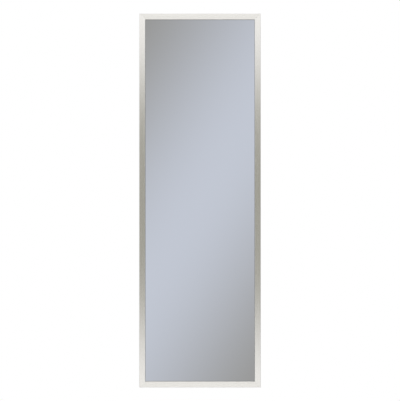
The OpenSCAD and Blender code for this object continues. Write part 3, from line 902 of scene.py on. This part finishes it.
class CABINET_OT_stage(bpy.types.Operator):
    """The camera, the pale floor and the soft light of a studio"""
    bl_idname = "cabinet.stage"
    bl_label = "Stage"

    def execute(self, context):
        stage = context.scene.cabinet_stage
        self.camera(context, stage)
        self.floor(context, stage)
        self.world(context, stage)
        self.lamp(context, "key_softbox", place=(-1.6, -2.4, 1.8), size=2.2,
                  watts=stage.key_watts)
        self.lamp(context, "fill_softbox", place=(1.9, -1.8, 0.9), size=2.0,
                  watts=stage.fill_watts)
        self.lamp(context, "rear_softbox", place=(0.6, 2.6, 1.9), size=2.2,
                  watts=stage.rear_watts)
        context.scene.view_settings.view_transform = "Standard"
        return {"FINISHED"}

    def camera(self, context, stage):
        """Looks straight at the middle of the door, from far enough to be nearly flat."""
        data = bpy.data.cameras.new("camera")
        data.sensor_width = 36
        data.lens = data.sensor_width * stage.camera_distance / stage.picture_height
        camera = bpy.data.objects.new("camera", data)
        camera.location = (0, cad_box[0].y - stage.camera_distance, 0)
        camera.rotation_euler = (math.radians(90), 0, 0)
        context.scene.collection.objects.link(camera)
        context.scene.camera = camera

    def floor(self, context, stage):
        """A disc that fades into the white backdrop. No metal or mirror shows it."""
        bm = bmesh.new()
        bmesh.ops.create_circle(bm, cap_ends=True, radius=stage.floor_radius, segments=96,
                                matrix=Matrix.Translation((0, 0, -stage.hanging_height)))
        mesh = bpy.data.meshes.new("floor")
        bm.to_mesh(mesh)
        bm.free()
        floor = bpy.data.objects.new("floor", mesh)
        floor.visible_glossy = False
        mesh.materials.append(finish("painted_studio_floor", self.floor_paint,
                                     list(stage.floor_colour), stage.floor_radius))
        context.scene.collection.objects.link(floor)

    def floor_paint(self, tree, colour, radius):
        """Matt floor paint, white light at its rim and clear from below."""
        place = add(tree, "ShaderNodeTexCoord", {}, {})
        flat = add(tree, "ShaderNodeVectorMath", {"operation": "MULTIPLY"},
                   {0: place.outputs["Object"], 1: (1, 1, 0)})
        reach = add(tree, "ShaderNodeVectorMath", {"operation": "LENGTH"}, {0: flat})
        paint_ends, white_starts = 0.4 * radius, 0.96 * radius
        fade = add(tree, "ShaderNodeMapRange", SMOOTH,
                   {"Value": reach.outputs["Value"], "From Min": paint_ends,
                    "From Max": white_starts})
        paint = add(tree, "ShaderNodeBsdfDiffuse", {}, {"Color": colour})
        white = add(tree, "ShaderNodeEmission", {}, {"Strength": 1.0})
        faded = add(tree, "ShaderNodeMixShader", {}, {0: fade, 1: paint, 2: white})
        clear = add(tree, "ShaderNodeBsdfTransparent", {}, {})
        side = add(tree, "ShaderNodeNewGeometry", {}, {})
        return {"Surface": add(tree, "ShaderNodeMixShader", {},
                               {0: side.outputs["Backfacing"], 1: faded, 2: clear})}

    def lamp(self, context, name, place, size, watts):
        """A square softbox aimed at the cabinet, whose shape no metal or mirror shows."""
        data = bpy.data.lights.new(name, "AREA")
        data.size = size
        data.energy = watts
        lamp = bpy.data.objects.new(name, data)
        lamp.location = place
        lamp.rotation_euler = Vector(place).to_track_quat("Z", "Y").to_euler()
        lamp.visible_glossy = False
        lamp.visible_camera = False
        lamp.visible_transmission = False
        context.scene.collection.objects.link(lamp)

    def world(self, context, stage):
        """White where the camera or clear glass looks, grey for lighting, and for mirrors and
        brushed metal the soft shapes of the studio that the object stands in."""
        world = bpy.data.worlds.new("studio")
        context.scene.world = world
        world.use_nodes = True
        world.cycles.sampling_method = "NONE"
        tree = world.node_tree
        tree.nodes.clear()
        path = add(tree, "ShaderNodeLightPath", {}, {})
        look = add(tree, "ShaderNodeTexCoord", {}, {}).outputs["Generated"]
        bands = self.mirror_bands(tree, stage, look)
        walls = self.metal_walls(tree, stage, look)
        room = [stage.room_level] * 3 + [1.0]
        lit = add(tree, "ShaderNodeMix", COLOURS,
                  {MIX_FACTOR: path.outputs["Is Glossy Ray"], MIX_A: room, MIX_B: walls})
        seen = add(tree, "ShaderNodeMix", COLOURS,
                   {MIX_FACTOR: path.outputs["Is Singular Ray"],
                    MIX_A: lit.outputs[MIX_COLOUR], MIX_B: bands})
        direct = add(tree, "ShaderNodeMath", {"operation": "LESS_THAN"},
                     {0: path.outputs["Glossy Depth"], 1: 0.5})
        through = add(tree, "ShaderNodeMath", {"operation": "MULTIPLY"},
                      {0: path.outputs["Is Transmission Ray"], 1: direct})
        backdrop = add(tree, "ShaderNodeMath", {"operation": "MAXIMUM"},
                       {0: path.outputs["Is Camera Ray"], 1: through})
        shown = add(tree, "ShaderNodeMix", COLOURS,
                    {MIX_FACTOR: backdrop, MIX_A: seen.outputs[MIX_COLOUR],
                     MIX_B: (1, 1, 1, 1)})
        light = add(tree, "ShaderNodeBackground", {}, {"Color": shown.outputs[MIX_COLOUR]})
        add(tree, "ShaderNodeOutputWorld", {}, {"Surface": light})

    def mirror_bands(self, tree, stage, look):
        """Soft light falling across the studio in a broad slanting band."""
        square_to_bands = (math.cos(stage.band_slant), 0, -math.sin(stage.band_slant))
        across = add(tree, "ShaderNodeVectorMath", {"operation": "DOT_PRODUCT"},
                     {0: look, 1: square_to_bands})
        near = add(tree, "ShaderNodeMath", {"operation": "PINGPONG"},
                   {0: across.outputs["Value"], 1: stage.band_spacing})
        square = add(tree, "ShaderNodeMath", {"operation": "POWER"}, {0: near, 1: 2.0})
        fall = add(tree, "ShaderNodeMath", {"operation": "MULTIPLY"},
                   {0: square, 1: -0.5 / stage.band_spread ** 2})
        bell = add(tree, "ShaderNodeMath", {"operation": "EXPONENT"}, {0: fall})
        return add(tree, "ShaderNodeMix", COLOURS,
                   {MIX_FACTOR: bell, MIX_A: list(stage.shade_colour),
                    MIX_B: list(stage.ridge_colour)}).outputs[MIX_COLOUR]

    def metal_walls(self, tree, stage, look):
        """In front, a darker belt at eye height between light cards above and below, with a
        strip light up the middle of each; beside and behind, a room that is lighter upwards
        and to the left."""
        # Sines of heights: the middle of the belt, where it starts to fade and where it ends
        belt_middle, belt_fades, belt_ends = -0.004, 0.076, 0.145
        # Sines of the middle of a strip light and of its reach up and down and to the sides
        strip_middle, strip_reach, strip_width = 0.3, 0.2, 0.12
        # Sines between which the room turns from its low tone to its high tone
        low, high = -0.5, 0.6
        # Sines between which the side of the room turns into its front
        side, front = -0.5, -0.85
        # Levels of the room on the left and on the right
        left_level, right_level = 1.2, 0.75
        parts = add(tree, "ShaderNodeSeparateXYZ", {}, {0: look})
        height = add(tree, "ShaderNodeMath", {"operation": "SUBTRACT"},
                     {0: parts.outputs["Z"], 1: belt_middle})
        away = add(tree, "ShaderNodeMath", {"operation": "ABSOLUTE"}, {0: height})
        belt = add(tree, "ShaderNodeMapRange", SMOOTH,
                   {"Value": away, "From Min": belt_fades, "From Max": belt_ends})
        facing = add(tree, "ShaderNodeMix", COLOURS,
                     {MIX_FACTOR: belt, MIX_A: list(stage.belt_colour),
                      MIX_B: list(stage.card_colour)})
        aside = add(tree, "ShaderNodeMath", {"operation": "ABSOLUTE"}, {0: parts.outputs["X"]})
        strip = add(tree, "ShaderNodeMapRange", SMOOTH,
                    {"Value": aside, "From Min": strip_width, "From Max": 0.5 * strip_width,
                     "To Min": stage.card_level, "To Max": stage.strip_level})
        past = add(tree, "ShaderNodeMath", {"operation": "SUBTRACT"}, {0: away, 1: strip_middle})
        off = add(tree, "ShaderNodeMath", {"operation": "ABSOLUTE"}, {0: past})
        glow = add(tree, "ShaderNodeMapRange", SMOOTH,
                   {"Value": off, "From Min": strip_reach, "From Max": 0.5 * strip_reach,
                    "To Min": stage.card_level, "To Max": strip})
        glowing = add(tree, "ShaderNodeVectorMath", {"operation": "SCALE"},
                      {"Vector": facing.outputs[MIX_COLOUR], "Scale": glow})
        rise = add(tree, "ShaderNodeMapRange", SMOOTH,
                   {"Value": parts.outputs["Z"], "From Min": low, "From Max": high})
        around = add(tree, "ShaderNodeMix", COLOURS,
                     {MIX_FACTOR: rise, MIX_A: list(stage.floor_tone),
                      MIX_B: list(stage.ceiling_tone)})
        leftward = add(tree, "ShaderNodeMapRange", {},
                       {"Value": parts.outputs["X"], "From Min": -1.0, "From Max": 1.0,
                        "To Min": left_level, "To Max": right_level})
        sided = add(tree, "ShaderNodeVectorMath", {"operation": "SCALE"},
                    {"Vector": around.outputs[MIX_COLOUR], "Scale": leftward})
        ahead = add(tree, "ShaderNodeMapRange", SMOOTH,
                    {"Value": parts.outputs["Y"], "From Min": side, "From Max": front})
        return add(tree, "ShaderNodeMix", COLOURS,
                   {MIX_FACTOR: ahead, MIX_A: sided, MIX_B: glowing}).outputs[MIX_COLOUR]


OPERATORS = (CABINET_OT_door_frame, CABINET_OT_door_glass, CABINET_OT_box, CABINET_OT_back,
             CABINET_OT_hinge, CABINET_OT_catches, CABINET_OT_shelves, CABINET_OT_stage)


class CABINET_PT_panel(bpy.types.Panel):
    """Buttons and settings of the cabinet"""
    bl_idname = "CABINET_PT_panel"
    bl_label = "Medicine cabinet"
    bl_space_type = "VIEW_3D"
    bl_region_type = "UI"
    bl_category = "Cabinet"

    def draw(self, context):
        for operator in OPERATORS:
            self.layout.operator(operator.bl_idname)
        for name, group in SETTINGS.items():
            column = self.layout.column()
            for setting in group.__annotations__:
                column.prop(getattr(context.scene, name), setting)


def register():
    for group in SETTINGS.values():
        bpy.utils.register_class(group)
    for name, group in SETTINGS.items():
        setattr(bpy.types.Scene, name, PointerProperty(type=group))
    for operator in OPERATORS:
        bpy.utils.register_class(operator)
    bpy.utils.register_class(CABINET_PT_panel)


def unregister():
    bpy.utils.unregister_class(CABINET_PT_panel)
    for operator in reversed(OPERATORS):
        bpy.utils.unregister_class(operator)
    for name, group in SETTINGS.items():
        delattr(bpy.types.Scene, name)
        bpy.utils.unregister_class(group)


def main():
    """Makes every piece and the stage, and notes the CAD's box and the visual model's."""
    register()
    for make in (bpy.ops.cabinet.door_frame, bpy.ops.cabinet.door_glass, bpy.ops.cabinet.box,
                 bpy.ops.cabinet.back, bpy.ops.cabinet.hinge, bpy.ops.cabinet.catches,
                 bpy.ops.cabinet.shelves, bpy.ops.cabinet.stage):
        make()


if __name__ == "__main__":
    main()
